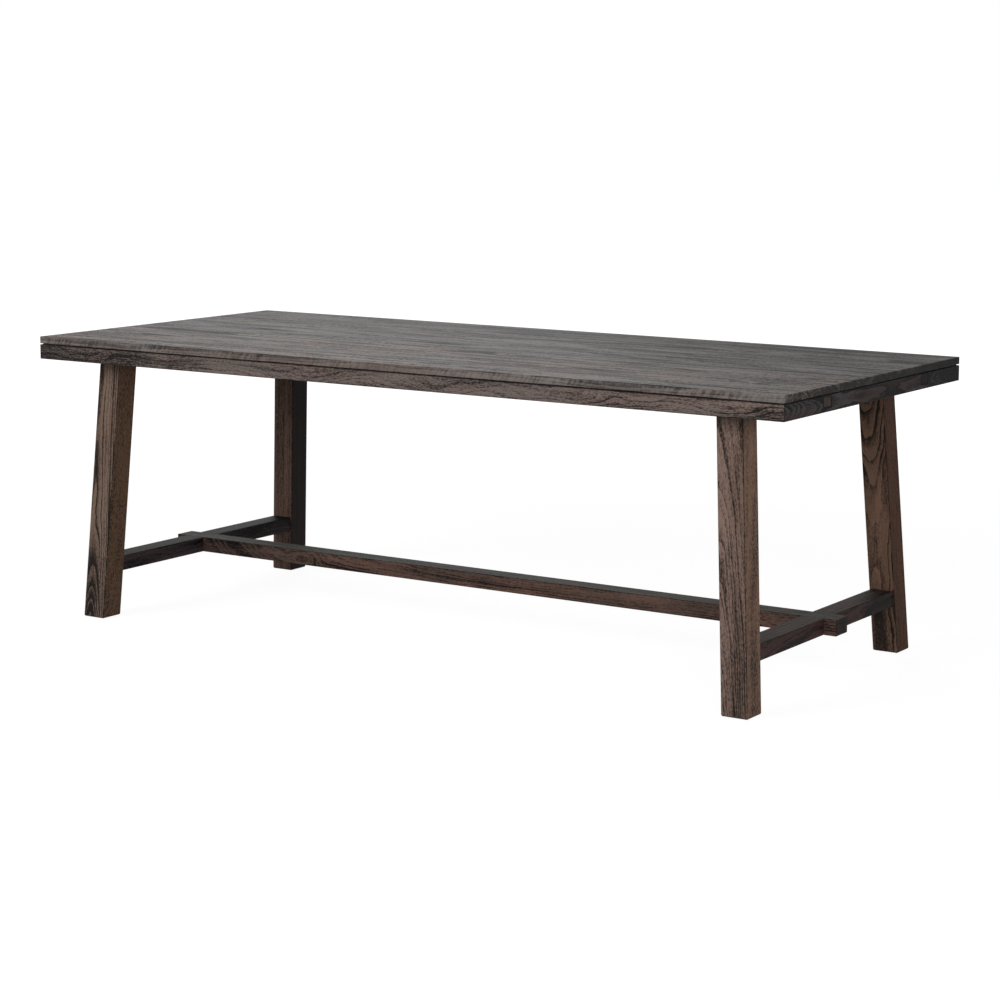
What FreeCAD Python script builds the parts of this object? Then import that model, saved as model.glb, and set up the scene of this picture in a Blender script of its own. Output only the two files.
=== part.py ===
import FreeCAD, Part
import math
import os

from FreeCAD import Vector

# Extending dining table in dark smoked oak. A plank top lies over a mitred frame, with a shadow line between.
# Two trestle ends, each with two splayed legs, a cross rail and a head bearer, are tied by a lapped stretcher.
# Four battens slide out through the end aprons, two at each end, and carry a loose leaf.
# Millimetres. X runs along the table, Y across it, Z up. The origin is on the floor under the top's middle.

# Driving sizes of the whole table
table_length = 2200.0
table_width = 950.0
table_height = 750.0

# Plank top
top_thickness = 18.0
board_count = 7
top_edge_chamfer = 1.2

# Spacer strips that make the shadow line
shadow_gap = 3.0
shadow_depth = 6.0
strip_width = 12.0

# Mitred apron frame
apron_height = 38.0
apron_thickness = 25.0
apron_chamfer = 1.0

# Glue blocks in the four frame corners
block_leg = 70.0
block_height = 30.0
block_top_gap = 4.0

# Legs, measured on level sections, and how far each leans out from the top to the foot
leg_side = 68.0
leg_inset_x = 176.5
leg_inset_y = 109.5
leg_lean_x = 43.5
leg_lean_y = 35.5
leg_chamfer = 1.6
leg_foot_chamfer = 2.4
leg_tenon_x = 44.0
leg_tenon_y = 28.0
leg_tenon_height = 24.0

# Nail-on glides under the legs
glide_radius = 14.0
glide_height = 3.0
glide_edge = 0.8
glide_nail_radius = 1.5
glide_nail_length = 16.0

# Cross rails, one in each trestle end
rail_bottom = 122.0
rail_height = 40.0
rail_setback = 4.0
rail_chamfer = 1.2
rail_tenon_side_x = 36.0
rail_tenon_side_z = 22.0
rail_tenon_length = 40.0

# Long stretcher, lapped over both rails
stretcher_width = 60.0
stretcher_overhang = 33.0

# Head bearers of the trestles and the middle bearer
bearer_width = 90.0
middle_bearer_width = 70.0
bearer_chamfer = 1.0
housing_depth = 5.0

# Clearance round a glued tenon and past its blind end
tenon_clearance = 0.1
tenon_end_clearance = 1.0

# Pull-out battens, each placed from the nearest leg, and the wood left under them in the end aprons
batten_leg_spacing = 100.5
batten_width = 40.0
batten_web = 9.5
batten_chamfer = 0.8
batten_travel = 480.0
batten_side_clearance = 0.75
batten_lift_clearance = 0.25
scoop_radius = 30.0
scoop_depth = 9.0

# Stop pins that hang from the battens and meet the bearers at full reach
pin_radius = 4.0
pin_hang = 7.0
pin_seat_depth = 20.0
pin_seat_clearance = 0.05
pin_end_distance = 60.0
pin_stop_clearance = 0.3

# Grooved guide cleats either side of each batten
guide_wall = 15.0
guide_groove_depth = 9.0
guide_lip = 6.0
guide_end_gap = 10.0

# Stop blocks behind the battens
stop_block_length = 30.0
stop_block_width = 62.0
stop_clearance = 0.3

# Bolts, washers and threaded inserts that hold the top to the bearers
bolt_radius = 3.0
bolt_reach = 9.4
bolt_head_radius = 8.5
bolt_head_height = 3.0
bolt_socket_across = 4.0
bolt_socket_depth = 2.2
bolt_well_clearance = 1.0
bolt_well_depth = 12.0
bolt_slot_play = 3.5
bolt_hole_clearance = 0.5
bolt_inner_y = 120.0
bolt_outer_inset = 50.0
washer_radius = 9.5
washer_thickness = 1.6
washer_hole_clearance = 0.3
insert_wall = 2.0
insert_length = 13.0
insert_bore_clearance = 0.05
insert_tip_room = 0.5

# Wood screws, with countersunk heads, and how far each bites into the piece that it holds
screw_radius = 2.2
screw_head_radius = 4.2
screw_head_height = 2.6
screw_tip_length = 5.0
screw_bite = 12.0
apron_screw_well_clearance = 0.8
apron_screw_well_depth = 9.0
apron_screw_end_margin = 100.0
side_apron_screw_count = 6
end_apron_screw_count = 3
guide_screw_margin = 40.0
guide_screw_count = 3
block_screw_side_margin = 12.0

# Overrun of every cutting tool past the face that it opens
overrun = 5.0

# Levels and places that follow from the sizes above
half_length = table_length / 2
half_width = table_width / 2
top_bottom_z = table_height - top_thickness
apron_top_z = top_bottom_z - shadow_gap
frame_bottom_z = apron_top_z - apron_height

leg_foot_z = glide_height
leg_rise = frame_bottom_z - leg_foot_z
leg_top_x = half_length - leg_inset_x
leg_top_y = half_width - leg_inset_y
leg_foot_x = leg_top_x + leg_lean_x
leg_foot_y = leg_top_y + leg_lean_y

rail_top_z = rail_bottom + rail_height
rail_middle_z = rail_bottom + rail_height / 2
rail_width = leg_side - 2 * rail_setback
rail_down_share = (frame_bottom_z - rail_middle_z) / leg_rise
rail_x = leg_top_x + leg_lean_x * rail_down_share
rail_leg_y = leg_top_y + leg_lean_y * rail_down_share
rail_tenon_end_y = rail_leg_y - leg_side / 2 + rail_tenon_length
stretcher_half_length = rail_x + rail_width / 2 + stretcher_overhang

apron_inner_x = half_length - apron_thickness
apron_inner_y = half_width - apron_thickness
bearer_end_y = apron_inner_y + housing_depth
bearer_inner_x = leg_top_x - bearer_width / 2
bearer_outer_x = leg_top_x + bearer_width / 2

batten_offset_y = leg_top_y - batten_leg_spacing
batten_top_z = apron_top_z - batten_lift_clearance
notch_floor_z = frame_bottom_z + batten_web
batten_bottom_z = notch_floor_z + batten_lift_clearance
notch_half_width = batten_width / 2 + batten_side_clearance
pin_x = bearer_inner_x - pin_radius - pin_stop_clearance - batten_travel
batten_inner_x = pin_x - pin_end_distance
scoop_x = (bearer_outer_x + apron_inner_x) / 2

guide_start_x = batten_inner_x
guide_end_x = bearer_inner_x - guide_end_gap
guide_bottom_z = notch_floor_z - guide_lip
stop_block_end_x = batten_inner_x - stop_clearance

bolt_outer_y = half_width - bolt_outer_inset
bolt_head_z = frame_bottom_z + bolt_well_depth - washer_thickness
insert_radius = bolt_radius + insert_wall
strip_centre_y = half_width - shadow_depth - strip_width / 2
strip_centre_x = half_length - shadow_depth - strip_width / 2
apron_screw_z = frame_bottom_z + apron_screw_well_depth


# Shared shapes

along_y = Vector(0, 1, 0)
along_z = Vector(0, 0, 1)


def box(x0, x1, y0, y1, z0, z1):
    """Box between two corners."""
    return Part.makeBox(x1 - x0, y1 - y0, z1 - z0, Vector(x0, y0, z0))


def mirror_x(shape):
    """The same piece on the left."""
    return shape.mirror(Vector(0, 0, 0), Vector(1, 0, 0))


def mirror_y(shape):
    """The same piece at the front."""
    return shape.mirror(Vector(0, 0, 0), Vector(0, 1, 0))


def edges_along_y(shape):
    """Edges that run across the table."""
    return [e for e in shape.Edges if e.BoundBox.YLength > e.BoundBox.XLength + e.BoundBox.ZLength]


def revolve(profile):
    """Solid of revolution about Z from radius and height points, closed along the axis."""
    points = [Vector(r, 0, z) for r, z in profile]
    face = Part.Face(Part.makePolygon(points + points[:1]))
    return face.revolve(Vector(0, 0, 0), along_z, 360)


def plan_prism(points, z0, z1):
    """Prism over a plan outline."""
    outline = Part.makePolygon([Vector(x, y, z0) for x, y in points + points[:1]])
    return Part.Face(outline).extrude(Vector(0, 0, z1 - z0))


def moved(shape, x, y, z):
    """Copy of a shape shifted from the origin."""
    copy = shape.copy()
    copy.translate(Vector(x, y, z))
    return copy


def spread(count, low, high):
    """Evenly spaced places from low to high, ends included."""
    return [low + (high - low) * i / (count - 1) for i in range(count)]


# Wood screws: one turned shape, driven upwards, with its head's flat face at the level that is asked for

def screw(length):
    """Countersunk wood screw that points up, its head's face at zero."""
    return revolve([
        (0, 0),
        (screw_head_radius, 0),
        (screw_radius, screw_head_height),
        (screw_radius, length - screw_tip_length),
        (0, length),
    ])


def screws_at(places, held_z):
    """Screws at places given as x, y and the level of the head, into a piece whose underside is at held_z."""
    return [moved(screw(held_z + screw_bite - z), x, y, z) for x, y, z in places]


def apron_screw_places():
    """Screws up through aprons and spacer strips into the top."""
    reach_x = half_length - apron_screw_end_margin
    reach_y = half_width - apron_screw_end_margin
    places = []
    for x in spread(side_apron_screw_count, -reach_x, reach_x):
        places += [(x, side * strip_centre_y, apron_screw_z) for side in (-1, 1)]
    for y in spread(end_apron_screw_count, -reach_y, reach_y):
        places += [(side * strip_centre_x, y, apron_screw_z) for side in (-1, 1)]
    return places


def guide_screw_places():
    """Screws up through the walls of the guide cleats into the top."""
    wall_offset = notch_half_width + guide_wall / 2
    places = []
    for x in spread(guide_screw_count, guide_start_x + guide_screw_margin, guide_end_x - guide_screw_margin):
        for end in (-1, 1):
            for y in batten_places():
                places += [(end * x, y + side * wall_offset, guide_bottom_z) for side in (-1, 1)]
    return places


def block_screw_places():
    """Two screws up through each stop block."""
    x = stop_block_end_x - stop_block_length / 2
    offset = stop_block_width / 2 - block_screw_side_margin
    places = []
    for end in (-1, 1):
        for y in batten_places():
            places += [(end * x, y + side * offset, notch_floor_z) for side in (-1, 1)]
    return places


def lap_screw_places():
    """One screw up through each rail into the stretcher."""
    return [(end * rail_x, 0, rail_bottom) for end in (-1, 1)]


def batten_places():
    """Y of the front and the back batten."""
    return (-batten_offset_y, batten_offset_y)


apron_screws = screws_at(apron_screw_places(), top_bottom_z)
guide_screws = screws_at(guide_screw_places() + block_screw_places(), top_bottom_z)
lap_screws = screws_at(lap_screw_places(), rail_middle_z)


# Bolts through the bearers, their washers, and the threaded inserts in the top

def bolt_places():
    """X and Y of every bolt: four in each of the three bearers."""
    return [
        (x, y)
        for x in (-leg_top_x, 0, leg_top_x)
        for y in (-bolt_outer_y, -bolt_inner_y, bolt_inner_y, bolt_outer_y)
    ]


def bolt():
    """Flat-headed bolt with a hexagon socket, the seat of its head at zero, pointing up."""
    tip = top_bottom_z + bolt_reach - bolt_head_z
    body = revolve([
        (0, -bolt_head_height),
        (bolt_head_radius, -bolt_head_height),
        (bolt_head_radius, 0),
        (bolt_radius, 0),
        (bolt_radius, tip),
        (0, tip),
    ])
    corner = bolt_socket_across / 2 / math.cos(math.pi / 6)
    hexagon = [(corner * math.cos(i * math.pi / 3), corner * math.sin(i * math.pi / 3)) for i in range(6)]
    socket = plan_prism(hexagon, -bolt_head_height - overrun, -bolt_head_height + bolt_socket_depth)
    return body.cut(socket)


def washer():
    """Flat washer between the bolt's head and the top of its well, its lower face at zero."""
    hole = bolt_radius + washer_hole_clearance
    top = washer_thickness
    return revolve([(hole, 0), (washer_radius, 0), (washer_radius, top), (hole, top)])


def insert():
    """Threaded brass insert, its lower face at zero."""
    hole = bolt_radius + insert_bore_clearance
    return revolve([(hole, 0), (insert_radius, 0), (insert_radius, insert_length), (hole, insert_length)])


def bolt_well(bearer_height):
    """Well and hole for one bolt, cut from the underside of a bearer. The hole is a slot across the table."""
    hole_radius = bolt_radius + bolt_hole_clearance
    well_radius = washer_radius + bolt_well_clearance
    through = bearer_height + 2 * overrun
    well = Part.makeCylinder(well_radius, bolt_well_depth + overrun, Vector(0, 0, -overrun))
    slot = box(-hole_radius, hole_radius, -bolt_slot_play, bolt_slot_play, -overrun, through - overrun)
    for side in (-1, 1):
        end = Part.makeCylinder(hole_radius, through, Vector(0, side * bolt_slot_play, -overrun))
        slot = slot.fuse(end)
    return well.fuse(slot)


bolts = [moved(bolt(), x, y, bolt_head_z) for x, y in bolt_places()]
washers = [moved(washer(), x, y, bolt_head_z) for x, y in bolt_places()]
inserts = [moved(insert(), x, y, top_bottom_z) for x, y in bolt_places()]


# Plank top: one slab with eased edges, sawn into boards that meet along their glue lines

def top_boards():
    """Boards from front to back, with pilot holes for the screws and seats for the inserts."""
    slab = box(-half_length, half_length, -half_width, half_width, top_bottom_z, table_height)
    slab = slab.makeChamfer(top_edge_chamfer, slab.Edges)
    seats = [
        Part.makeCylinder(insert_radius, insert_length + insert_tip_room, Vector(x, y, top_bottom_z))
        for x, y in bolt_places()
    ]
    tools = seats + apron_screws + guide_screws
    board_width = table_width / board_count
    boards = []
    for i in range(board_count):
        low = -half_width + i * board_width
        strip = box(-half_length, half_length, low, low + board_width, top_bottom_z, table_height)
        board = slab.common(strip)
        near = [t for t in tools if t.BoundBox.YMax > low and t.BoundBox.YMin < low + board_width]
        boards.append(board.cut(near).Solids[0])
    return boards


# Spacer strips: thin, and set back from the edge, so that they show as a dark line

def spacer_strips():
    """Front, back, left and right strips, butted at the corners."""
    outer_x = half_length - shadow_depth
    outer_y = half_width - shadow_depth
    inner_x = outer_x - strip_width
    inner_y = outer_y - strip_width
    back = box(-outer_x, outer_x, inner_y, outer_y, apron_top_z, top_bottom_z)
    right = box(inner_x, outer_x, -inner_y, inner_y, apron_top_z, top_bottom_z)
    strips = {"front": mirror_y(back), "back": back, "left": mirror_x(right), "right": right}
    return {name: strip.cut(apron_screws) for name, strip in strips.items()}


# Apron frame: a rim with eased edges, parted on the mitres

def apron_rim():
    """The whole frame before it is parted."""
    outer = box(-half_length, half_length, -half_width, half_width, frame_bottom_z, apron_top_z)
    outer = outer.makeChamfer(apron_chamfer, outer.Edges)
    low = frame_bottom_z - overrun
    inner = box(-apron_inner_x, apron_inner_x, -apron_inner_y, apron_inner_y, low, apron_top_z + overrun)
    return outer.cut(inner)


def apron_screw_wells():
    """Deep counterbores under the apron screws, with the screws themselves."""
    radius = screw_head_radius + apron_screw_well_clearance
    depth = apron_screw_well_depth + overrun
    wells = [Part.makeCylinder(radius, depth, Vector(x, y, z - depth)) for x, y, z in apron_screw_places()]
    return wells + apron_screws


def batten_notches(x0, x1):
    """Notches for the front and the back batten, open at the top, between two places along the table."""
    return [
        box(x0, x1, y - notch_half_width, y + notch_half_width, notch_floor_z, top_bottom_z + overrun)
        for y in batten_places()
    ]


def aprons():
    """Front, back, left and right aprons."""
    rim = apron_rim()
    back_plan = [
        (-half_length, half_width), (half_length, half_width),
        (apron_inner_x, apron_inner_y), (-apron_inner_x, apron_inner_y),
    ]
    right_plan = [
        (half_length, -half_width), (half_length, half_width),
        (apron_inner_x, apron_inner_y), (apron_inner_x, -apron_inner_y),
    ]
    back = rim.common(plan_prism(back_plan, frame_bottom_z, apron_top_z))
    housings = [
        box(x - width / 2, x + width / 2, 0, bearer_end_y, frame_bottom_z - overrun, apron_top_z + overrun)
        for x, width in ((-leg_top_x, bearer_width), (0, middle_bearer_width), (leg_top_x, bearer_width))
    ]
    back = back.cut(housings)
    right = rim.common(plan_prism(right_plan, frame_bottom_z, apron_top_z))
    right = right.cut(batten_notches(apron_inner_x - overrun, half_length + overrun))
    pieces = {"front": mirror_y(back), "back": back, "left": mirror_x(right), "right": right}
    wells = apron_screw_wells()
    return {name: piece.cut(wells) for name, piece in pieces.items()}


def corner_block():
    """Triangular glue block in the back right corner of the frame."""
    top = apron_top_z - block_top_gap
    plan = [
        (apron_inner_x, apron_inner_y),
        (apron_inner_x - block_leg, apron_inner_y),
        (apron_inner_x, apron_inner_y - block_leg),
    ]
    return plan_prism(plan, top - block_height, top)


# Trestle ends: splayed legs with a tenon at the top and a mortise for the cross rail

def leg_blank():
    """Back right leg as a skewed square prism from the foot to the frame."""
    half = leg_side / 2
    plan = [
        (leg_foot_x - half, leg_foot_y - half), (leg_foot_x + half, leg_foot_y - half),
        (leg_foot_x + half, leg_foot_y + half), (leg_foot_x - half, leg_foot_y + half),
    ]
    outline = Part.makePolygon([Vector(x, y, leg_foot_z) for x, y in plan + plan[:1]])
    return Part.Face(outline).extrude(Vector(-leg_lean_x, -leg_lean_y, leg_rise))


def rail_tenon_bar(clearance, end_clearance):
    """Bar through the right rail whose two ends are its tenons, or their mortises when it is grown."""
    half_x = rail_tenon_side_x / 2 + clearance
    half_z = rail_tenon_side_z / 2 + clearance
    end_y = rail_tenon_end_y + end_clearance
    low = rail_middle_z - half_z
    return box(rail_x - half_x, rail_x + half_x, -end_y, end_y, low, rail_middle_z + half_z)


def leg_tenon(clearance, end_clearance):
    """Stub tenon at the top of the back right leg, or its mortise when it is grown."""
    half_x = leg_tenon_x / 2 + clearance
    half_y = leg_tenon_y / 2 + clearance
    low = frame_bottom_z - overrun
    return box(
        leg_top_x - half_x, leg_top_x + half_x, leg_top_y - half_y, leg_top_y + half_y,
        low, frame_bottom_z + leg_tenon_height + end_clearance,
    )


def glide():
    """Turned glide with its nail, under the back right leg."""
    shape = revolve([
        (0, 0),
        (glide_radius - glide_edge, 0),
        (glide_radius, glide_edge),
        (glide_radius, glide_height),
        (glide_nail_radius, glide_height),
        (glide_nail_radius, glide_height + glide_nail_length - glide_nail_radius),
        (0, glide_height + glide_nail_length),
    ])
    return moved(shape, leg_foot_x, leg_foot_y, 0)


def leg():
    """Back right leg."""
    blank = leg_blank()
    long_edges = [e for e in blank.Edges if e.BoundBox.ZLength > leg_rise / 2]
    shape = blank.makeChamfer(leg_chamfer, long_edges)
    foot_edges = [e for e in shape.Edges if e.BoundBox.ZMax < leg_foot_z + leg_side]
    shape = shape.makeChamfer(leg_foot_chamfer, foot_edges)
    shape = shape.fuse(leg_tenon(0, 0))
    return shape.cut([rail_tenon_bar(tenon_clearance, tenon_end_clearance), glide()]).removeSplitter()


def cross_rail():
    """Right cross rail: scribed to the legs, tenoned into them, and notched from above for the stretcher."""
    half = rail_width / 2
    bar = box(rail_x - half, rail_x + half, -rail_leg_y, rail_leg_y, rail_bottom, rail_top_z)
    bar = bar.makeChamfer(rail_chamfer, edges_along_y(bar))
    back = leg_blank()
    bar = bar.cut([back, mirror_y(back)])
    bar = bar.fuse(rail_tenon_bar(0, 0))
    reach = half + overrun
    lap_half = stretcher_width / 2
    lap = box(rail_x - reach, rail_x + reach, -lap_half, lap_half, rail_middle_z, rail_top_z + overrun)
    return bar.cut([lap] + lap_screws).removeSplitter()


def stretcher():
    """Long stretcher, notched from below over both rails, with its ends proud of them."""
    half = stretcher_width / 2
    bar = box(-stretcher_half_length, stretcher_half_length, -half, half, rail_bottom, rail_top_z)
    bar = bar.makeChamfer(rail_chamfer, bar.Edges)
    reach = half + overrun
    lap_half = rail_width / 2
    laps = [
        box(x - lap_half, x + lap_half, -reach, reach, rail_bottom - overrun, rail_middle_z)
        for x in (-rail_x, rail_x)
    ]
    return bar.cut(laps + lap_screws)


def bearer(x, width):
    """Bearer across the frame, housed into the side aprons, with a well for each bolt."""
    bar = box(x - width / 2, x + width / 2, -bearer_end_y, bearer_end_y, frame_bottom_z, top_bottom_z)
    low_edges = [e for e in edges_along_y(bar) if e.BoundBox.ZMax < frame_bottom_z + apron_height / 2]
    bar = bar.makeChamfer(bearer_chamfer, low_edges)
    well = bolt_well(top_bottom_z - frame_bottom_z)
    return bar.cut([moved(well, bx, by, frame_bottom_z) for bx, by in bolt_places() if bx == x])


def head_bearer():
    """Right head bearer, with the mortises of two legs and the notches of two battens."""
    mortise = leg_tenon(tenon_clearance, tenon_end_clearance)
    bar = bearer(leg_top_x, bearer_width)
    notches = batten_notches(bearer_inner_x - overrun, bearer_outer_x + overrun)
    return bar.cut([mortise, mirror_y(mortise)] + notches)


# Pull-out battens with their guides and stops, all for the back right one

def batten():
    """Batten, flush with the end apron when it is home, with a finger scoop and a seat for its pin below."""
    low_y = batten_offset_y - batten_width / 2
    high_y = batten_offset_y + batten_width / 2
    bar = box(batten_inner_x, half_length, low_y, high_y, batten_bottom_z, batten_top_z)
    bar = bar.makeChamfer(batten_chamfer, bar.Edges)
    scoop_centre = Vector(scoop_x, low_y - overrun, batten_bottom_z + scoop_depth - scoop_radius)
    scoop = Part.makeCylinder(scoop_radius, batten_width + 2 * overrun, scoop_centre, along_y)
    seat_bottom = Vector(pin_x, batten_offset_y, batten_bottom_z - overrun)
    seat = Part.makeCylinder(pin_radius + pin_seat_clearance, pin_seat_depth + overrun, seat_bottom)
    return bar.cut([scoop, seat])


def stop_pin():
    """Steel pin that hangs from the batten and meets the bearer at full reach."""
    foot = Vector(pin_x, batten_offset_y, batten_bottom_z - pin_hang)
    return Part.makeCylinder(pin_radius, pin_hang + pin_seat_depth, foot)


def guide_cleat(side):
    """Grooved cleat beside the batten, on the middle side of it or on the leg side."""
    wall = notch_half_width + guide_wall
    edge = notch_half_width - guide_groove_depth
    profile = [
        (edge, guide_bottom_z), (wall, guide_bottom_z), (wall, top_bottom_z), (edge, top_bottom_z),
        (edge, apron_top_z), (notch_half_width, apron_top_z),
        (notch_half_width, notch_floor_z), (edge, notch_floor_z),
    ]
    points = [Vector(guide_start_x, batten_offset_y + side * y, z) for y, z in profile]
    face = Part.Face(Part.makePolygon(points + points[:1]))
    shape = face.extrude(Vector(guide_end_x - guide_start_x, 0, 0))
    return shape.cut(guide_screws)


def stop_block():
    """Block that the batten comes home against."""
    low_x = stop_block_end_x - stop_block_length
    low_y = batten_offset_y - stop_block_width / 2
    shape = box(low_x, stop_block_end_x, low_y, low_y + stop_block_width, notch_floor_z, top_bottom_z)
    return shape.cut(guide_screws)


# All the nodes of the table

def four_corners(name, shape):
    """A back right piece and its three mirror images."""
    front = mirror_y(shape)
    return {
        name + "_back_right": shape,
        name + "_front_right": front,
        name + "_back_left": mirror_x(shape),
        name + "_front_left": mirror_x(front),
    }


def two_ends(name, shape):
    """A right piece and its mirror image."""
    return {name + "_right": shape, name + "_left": mirror_x(shape)}


nodes = {"top_board_%d" % (i + 1): board for i, board in enumerate(top_boards())}
nodes.update({"spacer_strip_" + name: strip for name, strip in spacer_strips().items()})
nodes.update({"apron_" + name: apron for name, apron in aprons().items()})
nodes.update(four_corners("corner_block", corner_block()))
nodes.update(four_corners("leg", leg()))
nodes.update(four_corners("glide", glide()))
nodes.update(two_ends("cross_rail", cross_rail()))
nodes["stretcher"] = stretcher()
nodes.update(two_ends("head_bearer", head_bearer()))
nodes["middle_bearer"] = bearer(0, middle_bearer_width)
nodes.update(four_corners("batten", batten()))
nodes.update(four_corners("stop_pin", stop_pin()))
nodes.update(four_corners("guide_inner", guide_cleat(-1)))
nodes.update(four_corners("guide_outer", guide_cleat(1)))
nodes.update(four_corners("stop_block", stop_block()))
nodes["top_bolts"] = Part.makeCompound(bolts)
nodes["top_bolt_washers"] = Part.makeCompound(washers)
nodes["thread_inserts"] = Part.makeCompound(inserts)
nodes["apron_screws"] = Part.makeCompound(apron_screws)
nodes["guide_screws"] = Part.makeCompound(guide_screws)
nodes["lap_screws"] = Part.makeCompound(lap_screws)

os.makedirs("parts", exist_ok=True)
for name, shape in nodes.items():
    shape.exportStep("parts/" + name + ".step")
    print(name, "solids", len(shape.Solids), "valid", shape.isValid(), "volume", round(shape.Volume))
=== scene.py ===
import math

import bpy
import numpy as np
from mathutils import Matrix, Vector


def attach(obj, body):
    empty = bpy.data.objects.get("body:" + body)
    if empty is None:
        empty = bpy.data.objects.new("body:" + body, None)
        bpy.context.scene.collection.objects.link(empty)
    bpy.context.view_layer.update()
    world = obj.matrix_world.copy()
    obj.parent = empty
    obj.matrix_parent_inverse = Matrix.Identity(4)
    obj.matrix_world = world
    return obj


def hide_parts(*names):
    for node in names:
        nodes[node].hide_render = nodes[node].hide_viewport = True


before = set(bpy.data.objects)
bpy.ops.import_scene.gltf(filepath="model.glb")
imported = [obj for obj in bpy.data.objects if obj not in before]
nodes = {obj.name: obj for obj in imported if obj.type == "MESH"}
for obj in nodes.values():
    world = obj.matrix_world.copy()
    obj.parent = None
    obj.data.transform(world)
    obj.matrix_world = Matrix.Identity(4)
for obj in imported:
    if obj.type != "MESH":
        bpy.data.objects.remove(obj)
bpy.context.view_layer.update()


# Camera
# It stands past the right end of the table, in front of it, a little over the top, and looks back along it
# with a long lens, as the photograph does. The lens is shifted slightly to keep the photograph's framing.

def aim_camera():
    """Camera from its place, its heading, dip and roll in radians, and its focal length in picture widths."""
    place = Vector((3.5599, -5.2966, 1.4192))
    heading, dip, roll = 0.5648, -0.1402, 0.0056
    focal_widths = 2.5001
    lens = bpy.data.cameras.new("camera")
    lens.sensor_width = 36.0
    lens.lens = focal_widths * lens.sensor_width
    lens.shift_x = -0.0530
    lens.shift_y = -0.0641
    lens.clip_end = 60.0
    camera = bpy.data.objects.new("camera", lens)
    bpy.context.scene.collection.objects.link(camera)
    turn = Matrix.Rotation(heading, 4, "Z") @ Matrix.Rotation(math.pi / 2 + dip, 4, "X")
    camera.matrix_world = Matrix.Translation(place) @ turn @ Matrix.Rotation(roll, 4, "Z")
    bpy.context.scene.camera = camera


aim_camera()
bpy.context.scene.view_settings.view_transform = "Standard"


# Studio
# A plain white floor that keeps the table's shadow, a white surround, and five soft lamps: two strong ones in
# front, to the left and to the right, a weaker one off the right end, and two weak ones behind.

class Term:
    """A number that a material works out. Python sums on it add the Math nodes."""

    def __init__(self, finish, socket):
        self.finish = finish
        self.socket = socket

    def math(self, operation, *values):
        return self.finish.node("ShaderNodeMath", {"operation": operation}, dict(enumerate(values)))

    def __add__(self, other):
        return self.math("ADD", self, other)

    __radd__ = __add__

    def __sub__(self, other):
        return self.math("SUBTRACT", self, other)

    def __rsub__(self, other):
        return self.math("SUBTRACT", other, self)

    def __mul__(self, other):
        return self.math("MULTIPLY", self, other)

    __rmul__ = __mul__

    def __truediv__(self, other):
        return self.math("DIVIDE", self, other)

    def __pow__(self, other):
        return self.math("POWER", self, other)

    def larger(self, other):
        """The larger of two numbers."""
        return self.math("MAXIMUM", self, other)

    def between(self, low, high):
        """0 below low, 1 above high, and smooth between them."""
        settings = {"interpolation_type": "SMOOTHSTEP"}
        return self.finish.node("ShaderNodeMapRange", settings, {0: self, 1: low, 2: high})


class Finish:
    """A node tree that is being put together, of a material or of the world."""

    def __init__(self, holder):
        self.holder = holder
        holder.use_nodes = True
        self.tree = holder.node_tree
        self.tree.nodes.clear()

    def node(self, kind, settings, inputs, output=0):
        """Adds a node, its settings first, then the values or links of its sockets, and gives one output."""
        node = self.tree.nodes.new(kind)
        for name, value in settings.items():
            setattr(node, name, value)
        for name, value in inputs.items():
            if isinstance(value, Term):
                self.tree.links.new(value.socket, node.inputs[name])
            else:
                node.inputs[name].default_value = value
        return Term(self, node.outputs[output])

    def mix(self, share, first, second):
        """Colour between two colours."""
        return self.node("ShaderNodeMix", {"data_type": "RGBA"}, {0: share, 6: first, 7: second}, 2)

    def end(self, surface, kind="ShaderNodeOutputMaterial"):
        """Joins a shader to the output node."""
        self.tree.links.new(surface.socket, self.tree.nodes.new(kind).inputs["Surface"])
        return self.holder


def seen_rays(finish):
    """1 for rays that the camera sees, straight or by gloss or glass, and 0 for rays that only light."""
    straight, glossy, through = (finish.node("ShaderNodeLightPath", {}, {}, name)
                                 for name in ("Is Camera Ray", "Is Glossy Ray", "Is Transmission Ray"))
    return straight.larger(glossy.larger(through))


def white_floor():
    """Wide white disc, brightened where the camera sees it, a little less so near the table, and clear from
    below."""
    radius = 30.0
    sides = 96
    paint = 0.9
    glow_strength = 1.12
    glow_near = 0.84
    near, far = 2.0, 5.0
    angle = np.arange(sides) * 2 * math.pi / sides
    circle = np.stack([radius * np.cos(angle), radius * np.sin(angle), np.zeros(sides)], 1)
    mesh = bpy.data.meshes.new("floor")
    mesh.from_pydata(circle.tolist(), [], [list(range(sides))])
    floor = bpy.data.objects.new("floor", mesh)
    bpy.context.scene.collection.objects.link(floor)
    finish = Finish(bpy.data.materials.new("white_floor"))
    matt = finish.node("ShaderNodeBsdfDiffuse", {}, {"Color": (paint, paint, paint, 1)})
    glow = finish.node("ShaderNodeEmission", {}, {"Color": (1, 1, 1, 1), "Strength": glow_strength})
    place = finish.node("ShaderNodeTexCoord", {}, {}, "Object")
    distance = finish.node("ShaderNodeVectorMath", {"operation": "LENGTH"}, {0: place}, "Value")
    share = glow_near + distance.between(near, far) * (1 - glow_near)
    above = finish.node("ShaderNodeMixShader", {}, {0: seen_rays(finish) * share, 1: matt, 2: glow})
    below = finish.node("ShaderNodeBsdfTransparent", {}, {})
    from_below = finish.node("ShaderNodeNewGeometry", {}, {}, "Backfacing")
    surface = finish.node("ShaderNodeMixShader", {}, {0: from_below, 1: above, 2: below})
    mesh.materials.append(finish.end(surface))


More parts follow.
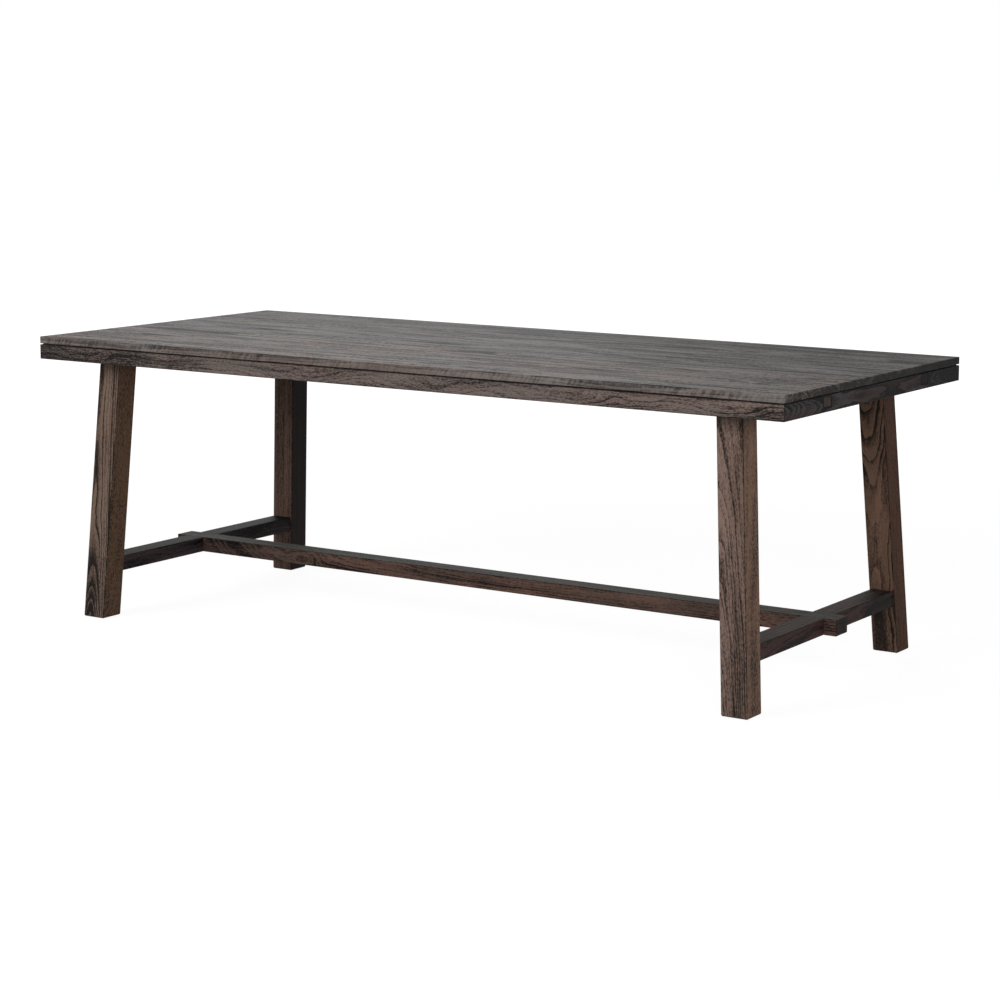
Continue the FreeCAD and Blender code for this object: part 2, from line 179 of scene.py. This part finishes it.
def white_surround():
    """World that is white where it is seen and dimmer where it lights."""
    finish = Finish(bpy.data.worlds.new("surround"))
    ambient = 0.12
    strength = ambient + seen_rays(finish) * (1.0 - ambient)
    light = finish.node("ShaderNodeBackground", {}, {"Color": (1, 1, 1, 1), "Strength": strength})
    bpy.context.scene.world = finish.end(light, "ShaderNodeOutputWorld")


def soft_lamp(name, place, side, watts):
    """Square white lamp that faces the middle of the table."""
    target = Vector((0, 0, 0.45))
    light = bpy.data.lights.new(name, "AREA")
    light.size = side
    light.energy = watts
    lamp = bpy.data.objects.new(name, light)
    lamp.location = place
    lamp.rotation_euler = (target - Vector(place)).to_track_quat("-Z", "Y").to_euler()
    bpy.context.scene.collection.objects.link(lamp)


white_floor()
white_surround()
soft_lamp("front_lamp", (-2.3, -5.4, 3.2), 2.5, 185)
soft_lamp("side_lamp", (4.2, -5.0, 2.35), 2.0, 122)
soft_lamp("right_lamp", (5.6, -1.4, 1.8), 2.0, 44)
soft_lamp("back_lamp", (-3.7, 4.6, 2.6), 3.0, 48)
soft_lamp("far_lamp", (0.5, 5.5, 3.0), 3.0, 26)


# Top
# Seven boards of dark smoked oak, glued edge to edge and sanded flat, with a matt oil finish. Each board comes
# from its own place in the log. Painted shade darkens the right end and painted light the middle of the front
# edge.

def srgb(red, green, blue, share=1.0):
    """Linear colour from a colour as it is read off a screen, 0 to 255, times a share."""
    return tuple(share * ((c / 255 + 0.055) / 1.055) ** 2.4 for c in (red, green, blue)) + (1.0,)


def oak(name, pith, tone, drift=None, beside=None, above=None, ring=0.006, wave=0.003,
        wave_length=(0.30, 0.08), bow=(0, 0, 0), knots=(), lines=1.0, side_lines=1.0, faint=0.3, fade=3.0,
        comb=0.5, dashes=0.4, clouds=0.6, specks=0.35, speck_size=(0.007, 0.0026), side_specks=0.0,
        flecks=0.0, edge_lines=0.0, rim=None, arris=0.5, sheen=0.0, end_grain=0.3, seed=0.0):
    """Oak cut from a log whose pith passes through two points.

    A place in the log is its length along the pith and its distance from it. Slow waves, as high as wave and as
    long and wide as wave_length, a bow that grows with the fourth power of the length, and knots bend the
    distance, which is then divided by the ring's width. A knot is its centre, its size, how far it pushes the
    rings, and how much it darkens. With no push it only darkens, and with less than no darkness it lightens.

    Every ring starts with a dark line of pores. Lines says how dark it is, and side_lines how much of that is
    left on faces square to X. Fade says how fast it fades outwards, comb how ragged the fibres make it, and
    faint how much slow clouds change it. Dashes and specks are finer marks, and clouds a slow light and dark,
    all laid along the log. Flecks are rows of short marks across the log on faces that look up, mostly in the
    gloss, whose strength is the sheen. Edge lines slant across the faces square to Y, where the figure is
    calmed. The seed shifts rings and noise.

    The tone lies between those of the bare wood and the lines, and drifts to a second tone in patches. The
    faces square to X, beside, and to Z, above, can have tones of their own, which partly paint the light and
    shade that fall on those sides. End grain and eased arrises are darker, and so is a rim of painted shade,
    on faces square to X, along the edges of a box given by its middle and half its size.
    """
    finish = Finish(bpy.data.materials.new(name))
    near, far = Vector(pith[0]), Vector(pith[1])
    turn = (far - near).to_track_quat("X", "Z").to_euler()
    along = (far - near).normalized()
    into_log = turn.to_matrix().inverted()
    place = finish.node("ShaderNodeTexCoord", {}, {}, "Object")
    log = finish.node("ShaderNodeMapping", {"vector_type": "TEXTURE"},
                      {"Vector": place, "Location": near, "Rotation": turn})

    def vector(operation, first, second=(0, 0, 0), output=0):
        return finish.node("ShaderNodeVectorMath", {"operation": operation}, {0: first, 1: second}, output)

    def length(value):
        return vector("LENGTH", value, output="Value")

    def coordinate(value, axis):
        return finish.node("ShaderNodeSeparateXYZ", {}, {"Vector": value}, axis)

    def noise(source, lengths, detail, output=0, shift=0.0):
        """Noise whose grains have the given lengths along the source's axes."""
        moved = finish.node("ShaderNodeMapping", {}, {
            "Vector": source, "Scale": tuple(1 / size for size in lengths),
            "Location": (seed * 3.1 + shift, seed * 1.7, seed * 0.6)})
        return finish.node("ShaderNodeTexNoise", {}, {"Vector": moved, "Scale": 1.0, "Detail": detail}, output)

    def drawn_out(along_log, across_log, detail, output=0, shift=0.0):
        """Noise whose grains have a length along the log and a width across it."""
        return noise(log, (along_log, across_log, across_log), detail, output, shift)

    sway = vector("SUBTRACT", drawn_out(*wave_length, 2.0, "Color"), (0.5, 0.5, 0.5))
    across = vector("ADD", log, vector("MULTIPLY", sway, (0, 4 * wave, 4 * wave)))
    if any(bow):
        reach = coordinate(log, "X")
        growth = reach * reach * reach * reach
        sag = into_log @ Vector(bow)
        bend = finish.node("ShaderNodeCombineXYZ", {}, {"Y": growth * -sag.y, "Z": growth * -sag.z})
        across = vector("ADD", across, bend)
    radius = length(vector("MULTIPLY", across, (0, 1, 1)))
    fibre = drawn_out(0.040, 0.0022, 2.0, shift=5.0)
    age = radius / ring + (fibre - 0.5) * comb + seed

    # A knot is drawn out along the log: its scale is smaller in that direction
    along_share = 0.45
    stains = []
    for centre, size, push, darkness in knots:
        inside = into_log @ (Vector(centre) - near)
        scale = (along_share / size, 1 / size, 1 / size)
        ball = 1 - length(vector("MULTIPLY", vector("SUBTRACT", log, tuple(inside)), scale)).between(0.0, 1.6)
        age = age + ball * (push / ring)
        stains.append(ball.between(0.3, 1.0) * darkness)

    uneven = finish.node("ShaderNodeTexNoise", {"noise_dimensions": "1D"},
                         {"W": age * 0.6, "Scale": 1.0, "Detail": 1.0})
    age = age + uneven * 1.6
    late = age.math("FRACT", age)
    strength = finish.node("ShaderNodeTexWhiteNoise", {"noise_dimensions": "1D"}, {"W": age.math("FLOOR", age)})
    cloud = drawn_out(0.28, 0.03, 2.0, shift=3.0).between(0.30, 0.70)
    early = (1 - late) ** fade * late.between(0.0, 0.06) * (strength * 0.7 + 0.4)
    early = early * (1 - faint + cloud * 2.0 * faint)
    pits = drawn_out(0.012, 0.0006, 2.0).between(0.52, 0.68) * (early * 0.6 + 0.4)
    dash = drawn_out(0.028, 0.0028, 2.5, shift=17.0).between(0.51, 0.60) * (early * 0.5 + 0.5)
    speck = drawn_out(*speck_size, 1.0, shift=43.0).between(0.38, 0.62)

    facing = finish.node("ShaderNodeNewGeometry", {}, {}, "Normal")
    squares = vector("MULTIPLY", facing, facing)
    square, level, upright = (coordinate(squares, axis) for axis in "XYZ")
    flattest = square.larger(level.larger(upright))
    ends = vector("DOT_PRODUCT", facing, tuple(along), "Value")
    line = early * (lines + square.between(0.4, 0.8) * (lines * (side_lines - 1)))
    pores, streaks = 0.4, 0.7
    shade = line + pits * pores + dash * dashes + (fibre - 0.5) * streaks + (cloud - 0.5) * (0.5 * clouds)
    shade = shade + (speck - 0.5) * (specks + square * side_specks)
    shade = shade + (ends * ends).between(0.6, 0.9) * end_grain
    shade = shade + (1 - flattest.between(0.6, 0.8)) * arris
    shade = sum(stains, shade)
    dull = shade
    if flecks:
        row = drawn_out(0.20, 0.014, 1.0, shift=21.0).between(0.54, 0.60)
        mark = drawn_out(0.0100, 0.016, 1.0, shift=9.0).between(0.51, 0.57)
        tick = mark * row * upright * flecks
        shade = shade + tick * 0.35
        dull = dull + tick
    if edge_lines:
        slanted = finish.node("ShaderNodeMapping", {"vector_type": "TEXTURE"},
                              {"Vector": place, "Rotation": (0, 0.6, 0)})
        hatch = noise(slanted, (0.0080, 0.1, 0.060), 1.0, shift=31.0).between(0.40, 0.62)
        patch = noise(place, (0.30, 0.1, 0.1), 1.0, shift=37.0).between(0.40, 0.55)
        calm = 0.34 + (shade - 0.30) * 0.35 + (hatch - 0.5) * patch * edge_lines
        shade = shade + level.between(0.6, 0.9) * (calm - shade)
    if rim:
        middle, half = rim
        apart = vector("ABSOLUTE", vector("SUBTRACT", vector("ABSOLUTE", place), middle))
        past = vector("SUBTRACT", apart, half)
        outside = coordinate(past, "Y").larger(coordinate(past, "Z"))
        shade = shade + outside.between(-0.0050, -0.0015) * square.between(0.6, 0.9)

    lightest, darkest = 1.60, 0.14
    base = srgb(*tone, lightest)
    if drift:
        tint = drawn_out(0.35, 0.06, 2.0, shift=13.0)
        base = finish.mix(tint.between(0.42, 0.62), base, srgb(*drift, lightest))
    if beside:
        base = finish.mix(square.between(0.4, 0.8), base, srgb(*beside, lightest))
    if above:
        base = finish.mix(upright.between(0.4, 0.8), base, srgb(*above, lightest))
    grey = sum(tone) / 3
    smoked = srgb(*(0.5 * c + 0.5 * grey for c in tone), darkest)
    colour = finish.mix(shade.between(-0.15, 0.95), base, smoked)
    relief = finish.node("ShaderNodeBump", {}, {
        "Strength": 0.35, "Distance": 0.0005, "Height": 1 - early * 0.4 - pits * 0.5 - dash * 0.3})
    parts = {"Base Color": colour, "Roughness": 0.6 + pits * 0.2, "Specular IOR Level": 0.05, "Normal": relief}
    if sheen:
        parts["Coat Weight"] = upright.between(0.5, 0.8) * sheen * (1.3 - dull * 1.3)
        parts["Coat Roughness"] = 0.5
    return finish.end(finish.node("ShaderNodeBsdfPrincipled", {}, parts))


def dress(names, material):
    """Gives CAD nodes a material."""
    for name in names:
        for slot in nodes[name].material_slots:
            slot.material = material


# Each board's pith, from the left end to the right one, its tone, the tone it drifts to, and that of its ends.
# The tones darken towards the back partly as painted shade, and the ends' tones much more, as painted shade.
board_logs = [
    (((-1.1, -0.43, 0.66), (1.1, -0.40, 0.70)), (101, 96, 93), (100, 89, 84), (94, 84, 79)),
    (((-1.1, -0.26, 0.72), (1.1, -0.30, 0.66)), (99, 94, 91), (106, 92, 87), (72, 65, 60)),
    (((-1.1, -0.12, 0.65), (1.1, -0.15, 0.69)), (100, 95, 92), (102, 90, 85), (70, 62, 58)),
    (((-1.1, 0.03, 0.70), (1.1, -0.02, 0.64)), (94, 89, 87), (88, 84, 82), (62, 55, 53)),
    (((-1.1, 0.16, 0.66), (1.1, 0.13, 0.70)), (88, 84, 82), (92, 84, 80), (55, 50, 48)),
    (((-1.1, 0.25, 0.71), (1.1, 0.29, 0.65)), (84, 80, 77), (79, 75, 73), (39, 35, 36)),
    (((-1.1, 0.42, 0.67), (1.1, 0.40, 0.70)), (75, 72, 70), (70, 67, 65), (28, 26, 28)),
]
# Painted shade over the right end of the top and painted light at the middle of its front edge, as knots with
# no push
right_end_painted_shade = ((1.4, 0.2, 0.75), 0.9, 0.0, 0.20)
front_middle_painted_light = ((0.0, -0.32, 0.75), 0.3, 0.0, -0.09)
for i, (pith, tone, drift, beside) in enumerate(board_logs):
    board = oak("oak_board_%d" % (i + 1), pith, tone, drift, beside, ring=0.0075, wave=0.006,
                wave_length=(0.35, 0.06), knots=[right_end_painted_shade, front_middle_painted_light], fade=2.4, comb=0.4, dashes=0.3,
                clouds=0.9, specks=0.3, speck_size=(0.006, 0.009), flecks=1.5, edge_lines=0.30, arris=0.1,
                sheen=0.10, seed=2.3 * i + 1)
    dress(["top_board_%d" % (i + 1)], board)


# Spacer strips
# Thin oak strips between the top and the aprons, set back from the edge, which make the shadow line. Their
# nearly black tone is painted shade in that recess. The apron screws run up through them.

# Nearly black tone: painted shade in the shadow line's recess
strip_shade_tone = (30, 26, 25)
dress(["spacer_strip_front", "spacer_strip_back"],
      oak("oak_strip_long", ((-1, 0.2, 0.7), (1, 0.2, 0.7)), strip_shade_tone))
dress(["spacer_strip_left", "spacer_strip_right"],
      oak("oak_strip_end", ((0.2, -1, 0.7), (0.2, 1, 0.7)), strip_shade_tone))


# Aprons
# Four lengths of oak, mitred at the corners. The long ones have curly figure. The end ones are flat sawn, with
# arches, and darker, partly as painted shade on the ends.

curly = {"ring": 0.0046, "wave": 0.028, "wave_length": (0.26, 0.12), "lines": 0.65, "fade": 1.5, "comb": 0.42,
         "dashes": 0.2, "clouds": 0.6, "specks": 0.4}
front_knots = [
    ((-1.12, -0.475, 0.71), 0.28, 0.004, 0.42),
    ((-0.60, -0.475, 0.69), 0.05, 0.0, 0.25),
    ((-0.98, -0.475, 0.705), 0.030, 0.016, 0.0),
    ((0.12, -0.475, 0.675), 0.050, 0.030, 0.0),
    ((0.60, -0.475, 0.705), 0.030, 0.012, 0.0),
    ((0.97, -0.475, 0.71), 0.030, 0.016, 0.0),
    ((1.10, -0.475, 0.70), 0.060, 0.0, 0.30),
]
dress(["apron_front"], oak(
    "oak_apron_front", ((-1.1, -0.475, 0.62), (1.1, -0.465, 0.64)), (88, 79, 75), (96, 82, 77),
    knots=front_knots, seed=3.0, **curly))
dress(["apron_back"], oak(
    "oak_apron_back", ((-1.1, 0.475, 0.64), (1.1, 0.465, 0.62)), (88, 79, 75), (96, 82, 76),
    seed=5.0, **curly))
# The dark patch at the back end of the right apron is painted shade.
dress(["apron_right"], oak(
    "oak_apron_right", ((1.05, 0, 0.71), (1.05, 1, 0.712)), (52, 48, 48), (46, 37, 35), ring=0.0055,
    wave=0.003, wave_length=(0.15, 0.05), bow=(0.8, 0, 0), knots=[((1.1, 0.46, 0.71), 0.10, 0.0, 0.75)],
    lines=1.5, fade=2.0, dashes=0.2, seed=5.0))
dress(["apron_left"], oak(
    "oak_apron_left", ((-1.05, 0, 0.705), (-1.05, 1, 0.71)), (56, 49, 48), (60, 49, 45), ring=0.0055,
    wave=0.004, wave_length=(0.15, 0.05), bow=(-0.6, 0, 0), lines=1.3, fade=2.0, dashes=0.2, seed=8.0))


# Corner blocks
# Triangles of oak, glued into the corners of the frame, with the same dark stain as the rest of the inside.

inner_tone = (60, 49, 43)
corners = ("back_right", "front_right", "back_left", "front_left")
dress(["corner_block_" + c for c in corners],
      oak("oak_corner_blocks", ((-1, -1, 0.6), (1, 1, 0.62)), inner_tone))


# Legs
# Square posts of solid oak that lean out both ways. The grain runs along the lean. Each is cut from the edge of
# a log, so that one face shows arches and the face beside it straight lines.

def pith_beside(side_x, side_y, at_head, at_foot):
    """Two points of a log's pith, from how far it passes from a leg's middle at its head and at its foot."""
    head_x, head_y, head_z = 0.9235, 0.3655, 0.691
    foot_x, foot_y, foot_z = 0.967, 0.401, 0.003
    head = (side_x * head_x + at_head[0], side_y * head_y + at_head[1], head_z)
    foot = (side_x * foot_x + at_foot[0], side_y * foot_y + at_foot[1], foot_z)
    return head, foot


# The legs' side tones, beside, partly paint the light and shade on their sides. The back left leg is darker
# overall, partly as painted shade, and its inner side is nearly black with painted shade.
dress(["leg_front_left"], oak(
    "oak_leg_front_left", pith_beside(-1, -1, (-0.029, 0.012), (-0.012, 0.012)), (94, 77, 67), (99, 83, 73),
    beside=(79, 60, 46), ring=0.0056, wave=0.0032, wave_length=(0.24, 0.08), bow=(0, -0.12, 0),
    knots=[((-0.987, -0.42, 0.475), 0.005, 0.002, 0.8), ((-0.967, -0.47, 0.05), 0.12, 0.0, 0.38)],
    lines=1.2, side_lines=0.25, faint=0.1, fade=2.0, comb=0.2, dashes=0.12, specks=0.3, side_specks=0.5,
    seed=1.6))
dress(["leg_front_right"], oak(
    "oak_leg_front_right", pith_beside(1, -1, (-0.038, 0.038), (-0.038, -0.010)), (104, 86, 78), (92, 75, 66),
    beside=(100, 78, 65), ring=0.0048, wave=0.003, wave_length=(0.20, 0.06),
    knots=[((0.962, -0.50, 0.13), 0.17, 0.0, 0.27)],
    lines=0.8, side_lines=0.4, faint=0.2, fade=2.6, comb=0.65, dashes=0.2, specks=0.38, side_specks=0.2,
    seed=3.4))
dress(["leg_back_right"], oak(
    "oak_leg_back_right", pith_beside(1, 1, (-0.012, 0.03), (-0.012, 0.03))[::-1], (94, 72, 60), (84, 65, 53),
    beside=(62, 40, 28), ring=0.0090, wave=0.006, wave_length=(0.14, 0.06), bow=(0, -0.25, 0),
    knots=[((0.967, 0.37, 0.05), 0.05, 0.0, 0.4)],
    lines=1.3, side_lines=0.6, fade=2.0, comb=0.2, dashes=0.12, specks=0.3, side_specks=0.3,
    seed=4.0))
dress(["leg_back_left"], oak(
    "oak_leg_back_left", pith_beside(-1, 1, (-0.2, 0.1), (-0.2, 0.1)), (74, 58, 50), (70, 54, 47),
    beside=(28, 23, 22), ring=0.006, lines=0.6, seed=6.0))


# Cross rails and stretcher
# Oak bars with eased edges. The rails are tenoned into the legs. They and the stretcher cross in half laps,
# flush above and below, each held by a screw from underneath.

# The tones of the rails and stretcher, and of their sides (beside) and tops (above), partly paint the light and
# shade that fall on them.
dress(["cross_rail_right"], oak(
    "oak_rail_right", ((0.88, -0.4, 0.10), (0.90, 0.4, 0.12)), (58, 48, 44), (60, 47, 43), beside=(52, 37, 36),
    above=(52, 41, 36), ring=0.0055, wave=0.004, wave_length=(0.15, 0.06),
    knots=[((0.988, 0.27, 0.142), 0.06, 0.0, 0.6)], seed=1.5))
dress(["cross_rail_left"], oak(
    "oak_rail_left", ((-1.05, -0.4, 0.10), (-1.04, 0.4, 0.10)), (30, 29, 27), beside=(46, 38, 40),
    above=(26, 25, 22), knots=[((-0.93, 0.23, 0.142), 0.10, 0.0, 0.35)], seed=2.5))
stretcher_knots = [
    ((-0.57, -0.03, 0.143), 0.020, 0.020, 0.0),
    ((0.80, -0.03, 0.135), 0.020, 0.016, 0.0),
    ((-0.80, -0.03, 0.14), 0.25, 0.0, 0.12),
]
dress(["stretcher"], oak(
    "oak_stretcher", ((1.0, 0.0, 0.205), (-1.0, 0.0, 0.158)), (68, 54, 48), (82, 62, 54), beside=(37, 29, 28),
    above=(50, 48, 43), ring=0.0060, wave=0.006, wave_length=(0.24, 0.12), bow=(0, 0.008, 0),
    knots=stretcher_knots, lines=0.8, faint=0.5, fade=2.0, comb=0.3, dashes=0.2, seed=3.5))


# Bearers
# Oak bars across the inside of the frame, to which the top is bolted. The two at the ends take the legs' tenons
# and carry the battens in notches.

dress(["head_bearer_right", "head_bearer_left", "middle_bearer"],
      oak("oak_bearers", ((0.1, -1, 0.6), (0.1, 1, 0.6)), inner_tone, seed=4.5))


# Battens and their slides
# Straight-grained oak bars, waxed so that they slide, between grooved cleats, with a block behind each. The
# dark rims of their ends are painted shade where they sit in the aprons' notches, and their tones partly paint
# the shade at the ends, nearly black at the back right.

# Box of a batten's end: painted shade lies along its edges
batten_middle = Vector((0, 0.265, 0.7148))
batten_half = Vector((0, 0.020, 0.014))
# Each batten's tone partly paints the shade at its end; the back right one is nearly black with it.
batten_tones_and_shade = {
    "front_right": (55, 46, 42),
    "back_right": (18, 13, 15),
    "front_left": (54, 46, 43),
    "back_left": (42, 36, 36),
}
for corner, tone in batten_tones_and_shade.items():
    dress(["batten_" + corner], oak(
        "oak_batten_" + corner, ((-1, 0.02, 0.6), (1, 0.02, 0.6)), tone, ring=0.005,
        rim=(batten_middle, batten_half), end_grain=0.0, seed=5.5))
dress([kind + c for kind in ("guide_inner_", "guide_outer_", "stop_block_") for c in corners],
      oak("oak_guides", ((-1, 0.05, 0.6), (1, 0.04, 0.6)), inner_tone, seed=6.5))


# Bolts, washers and inserts
# Twelve zinc plated bolts with flat heads and hexagon sockets. Each goes up through its washer and a bearer
# into a brass insert, whose coarse outer thread holds it in the top.

def metal(name, colour):
    """Bright metal with a slightly uneven polish and fine scratches."""
    finish = Finish(bpy.data.materials.new(name))
    place = finish.node("ShaderNodeTexCoord", {}, {}, "Object")
    rub = finish.node("ShaderNodeTexNoise", {}, {"Vector": place, "Scale": 900.0, "Detail": 3.0})
    bloom = finish.node("ShaderNodeTexNoise", {}, {"Vector": place, "Scale": 160.0, "Detail": 2.0})
    tint = finish.mix(rub * 0.6 + bloom * 0.4, colour, tuple(0.72 * c for c in colour[:3]) + (1.0,))
    relief = finish.node("ShaderNodeBump", {}, {"Strength": 0.2, "Distance": 0.0001, "Height": rub})
    surface = finish.node("ShaderNodeBsdfPrincipled", {}, {
        "Base Color": tint, "Metallic": 1.0, "Roughness": 0.28 + rub * 0.15 + bloom * 0.1, "Normal": relief})
    return finish.end(surface)


def grid(around, rows):
    """Angles of one turn, and the rows' radius and height as columns beside them."""
    angle = np.arange(around) * 2 * math.pi / around
    radius, height = np.array(rows).T[:, :, None]
    return angle, radius + 0 * angle, height + 0 * angle


def hexagon(angle, across):
    """Distance from the middle to the wall of a hexagon socket: half its width over the cosine of the angle
    from the nearest wall's middle."""
    return across / 2 / np.cos(np.mod(angle, math.pi / 3) - math.pi / 6)


def thread(angle, height, pitch, core, crest):
    """Radius of a screw thread: it rises from the core to the crest and falls again once in every pitch, and
    the rise climbs with the angle."""
    turn = np.mod(height / pitch - angle / (2 * math.pi), 1.0)
    rise = np.clip(1.5 * (1 - np.abs(2 * turn - 1)) - 0.15, 0, 1)
    return core + (crest - core) * rise


def turned(angle, radius, height, looped=False):
    """Points and faces of a surface of row and angle, with the radius and the height of each. A looped surface
    joins its last row to its first. The others are closed by a flat cap at each end."""
    rows, around = radius.shape
    points = np.stack([radius * np.cos(angle), radius * np.sin(angle), height], 2).reshape(-1, 3)
    row, column = np.meshgrid(np.arange(rows if looped else rows - 1), np.arange(around), indexing="ij")
    here = row * around
    above = (row + 1) % rows * around
    right = (column + 1) % around
    quads = np.stack([here + column, here + right, above + right, above + column], 2).reshape(-1, 4)
    first = np.arange(around)[::-1]
    caps = np.array([] if looped else [first, first[::-1] + (rows - 1) * around], int).reshape(-1, around)
    return points, quads, caps


def set_out(name, shapes, replaced, body, material):
    """One piece from turned shapes, each with the places where it stands. Copies are the points moved."""
    points = []
    faces = []
    count = 0
    for (shape, quads, caps), places in shapes:
        places = np.array(places)
        starts = count + np.arange(len(places))[:, None, None] * len(shape)
        points.append((places[:, None] + shape[None]).reshape(-1, 3))
        faces += (starts + quads[None]).reshape(-1, 4).tolist()
        faces += (starts + caps[None]).reshape(-1, caps.shape[1]).tolist()
        count += len(places) * len(shape)
    mesh = bpy.data.meshes.new(name)
    mesh.from_pydata(np.concatenate(points).tolist(), [], faces)
    mesh.materials.append(material)
    piece = bpy.data.objects.new(name, mesh)
    bpy.context.scene.collection.objects.link(piece)
    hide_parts(replaced)
    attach(piece, body)


zinc = metal("zinc", (0.55, 0.55, 0.56, 1.0))
brass = metal("brass", (0.6, 0.42, 0.18, 1.0))
bolt_pitch = 0.0010
insert_pitch = 0.0030
bolt_places = [(x, y, 0.0) for x in (-0.9235, 0.0, 0.9235) for y in (-0.425, -0.120, 0.120, 0.425)]


def bolt():
    """From the socket's floor out over the flat head, up its side, and up the threaded shank to the tip."""
    sides = 24
    angle, radius, height = grid(sides, [
        (0, 0.7006), (0, 0.6988), (0, 0.6984), (0.0074, 0.6984), (0.0081, 0.69855), (0.0085, 0.6990),
        (0.0085, 0.7011), (0.0082, 0.7014), (0.0030, 0.7014), (0.0030, 0.7080)])
    radius[0] = hexagon(angle, 0.0038)
    radius[1] = hexagon(angle, 0.0038)
    radius[2] = hexagon(angle, 0.0040)
    levels = np.arange(0.7083, 0.7402, 0.00025)[:, None] + 0 * angle
    worm = thread(angle, levels, bolt_pitch, 0.00245, 0.00298)
    tip = np.full((1, sides), 0.0022)
    tip_level = np.full((1, sides), 0.7413)
    return turned(angle, np.concatenate([radius, worm, tip]), np.concatenate([height, levels, tip_level]))


def washer():
    """Flat ring with rounded outer edges and a small burr inside."""
    angle, radius, height = grid(32, [
        (0.0034, 0.7014), (0.0091, 0.7014), (0.0095, 0.7017), (0.0095, 0.7027), (0.0091, 0.7030),
        (0.0034, 0.7030), (0.0033, 0.7028), (0.0033, 0.7016)])
    return turned(angle, radius, height, looped=True)


def insert():
    """Outside, a coarse thread between plain ends. Inside, the bolt's thread, a hair wider than the bolt."""
    sides = 24
    angle, foot_radius, foot_height = grid(sides, [(0.0033, 0.7320), (0.0042, 0.7320)])
    angle, head_radius, head_height = grid(sides, [(0.0040, 0.7450), (0.0033, 0.7450)])
    outer_levels = np.arange(0.7332, 0.7438, 0.0005)[:, None] + 0 * angle
    inner_levels = np.arange(0.7446, 0.7322, -0.00025)[:, None] + 0 * angle
    outer = thread(angle, outer_levels, insert_pitch, 0.0041, 0.0050)
    inner = thread(angle, inner_levels, bolt_pitch, 0.00251, 0.00304)
    radius = np.concatenate([foot_radius, outer, head_radius, inner])
    height = np.concatenate([foot_height, outer_levels, head_height, inner_levels])
    return turned(angle, radius, height, looped=True)


set_out("hexagon_bolts", [(bolt(), bolt_places)], "top_bolts", "table", zinc)
set_out("round_washers", [(washer(), bolt_places)], "top_bolt_washers", "table", zinc)
set_out("screw_in_nuts", [(insert(), bolt_places)], "thread_inserts", "table", brass)


# Screws
# Countersunk wood screws with six-lobed recesses, driven upwards: through the aprons into the top, through the
# guide cleats and stop blocks, and through each rail into the stretcher.

def wood_screw(length):
    """From the recess's floor out over the flat head, up its cone and the plain shank, then the thread to the
    tip, where core and crest shrink to a point."""
    pitch = 0.0022
    step = 0.0005
    sides = 18
    shank = 0.3 * length
    angle, radius, height = grid(sides, [
        (0.0013, 0.0015), (0.0016, 0.0013), (0.0017, 0.0), (0.00385, 0.0), (0.00405, 0.00008), (0.0040, 0.0003),
        (0.0018, 0.0026), (0.0016, 0.0032), (0.0016, shank)])
    radius[:3] = radius[:3] * (1 + 0.14 * np.cos(6 * angle))
    levels = np.arange(shank + step, length - 0.0004, step)[:, None] + 0 * angle
    taper = np.clip((length - levels) / 0.005, 0.05, 1)
    worm = thread(angle, levels, pitch, 0.00135, 0.0021) * taper
    tip = np.full((1, sides), 0.00008)
    tip_level = np.full((1, sides), length)
    return turned(angle, np.concatenate([radius, worm, tip]), np.concatenate([height, levels, tip_level]))


apron_places = [(x, y, 0.700) for x in (-1.0, -0.6, -0.2, 0.2, 0.6, 1.0) for y in (-0.463, 0.463)]
apron_places += [(x, y, 0.700) for x in (-1.088, 1.088) for y in (-0.375, 0.0, 0.375)]
cleat_places = [(x * end, y * side, 0.6945) for x in (0.3742, 0.60135, 0.8285) for y in (0.23675, 0.29325)
                for end in (-1, 1) for side in (-1, 1)]
block_places = [(0.3189 * end, y * side, 0.7005) for y in (0.246, 0.284) for end in (-1, 1) for side in (-1, 1)]
lap_places = [(-0.9582, 0.0, 0.122), (0.9582, 0.0, 0.122)]
set_out("apron_wood_screws", [(wood_screw(0.044), apron_places)], "apron_screws", "table", zinc)
set_out("cleat_wood_screws", [(wood_screw(0.0495), cleat_places), (wood_screw(0.0435), block_places)],
        "guide_screws", "table", zinc)
set_out("lap_wood_screws", [(wood_screw(0.032), lap_places)], "lap_screws", "table", zinc)


# Stop pins
# Steel dowels with rounded ends, pressed into the undersides of the battens. They meet the head bearers when
# the battens are fully out.

def dowel():
    """Radius over height: a quarter circle at each end of a straight side."""
    length = 0.0270
    turn = np.linspace(0.15, math.pi / 2, 6)
    low = np.stack([0.0030 + 0.0010 * np.sin(turn), 0.0010 - 0.0010 * np.cos(turn)], 1)
    high = np.stack([low[::-1, 0], length - low[::-1, 1]], 1)
    return turned(*grid(24, np.concatenate([[(0.0028, 0.0)], low, high, [(0.0028, length)]])))


pin_x, pin_y, pin_z = 0.3942, 0.265, 0.69375
for corner in corners:
    x = pin_x if corner.endswith("right") else -pin_x
    y = pin_y if corner.startswith("back") else -pin_y
    set_out("dowel_" + corner, [(dowel(), [(x, y, pin_z)])], "stop_pin_" + corner, "batten_" + corner,
            zinc)


# Glides
# Turned pads of black plastic under the legs, each with a nail that is driven up into the leg's end.

def plastic(name, colour):
    """Matt moulded plastic with a fine grain."""
    finish = Finish(bpy.data.materials.new(name))
    place = finish.node("ShaderNodeTexCoord", {}, {}, "Object")
    grain = finish.node("ShaderNodeTexNoise", {}, {"Vector": place, "Scale": 2500.0, "Detail": 2.0})
    tint = finish.mix(grain, colour, tuple(1.5 * c for c in colour[:3]) + (1.0,))
    relief = finish.node("ShaderNodeBump", {}, {"Strength": 0.2, "Distance": 0.0001, "Height": grain})
    surface = finish.node("ShaderNodeBsdfPrincipled", {}, {
        "Base Color": tint, "Roughness": 0.5 + grain * 0.2, "Specular IOR Level": 0.2, "Normal": relief})
    return finish.end(surface)


dress(["glide_" + c for c in corners], plastic("black_plastic", srgb(26, 25, 24)))
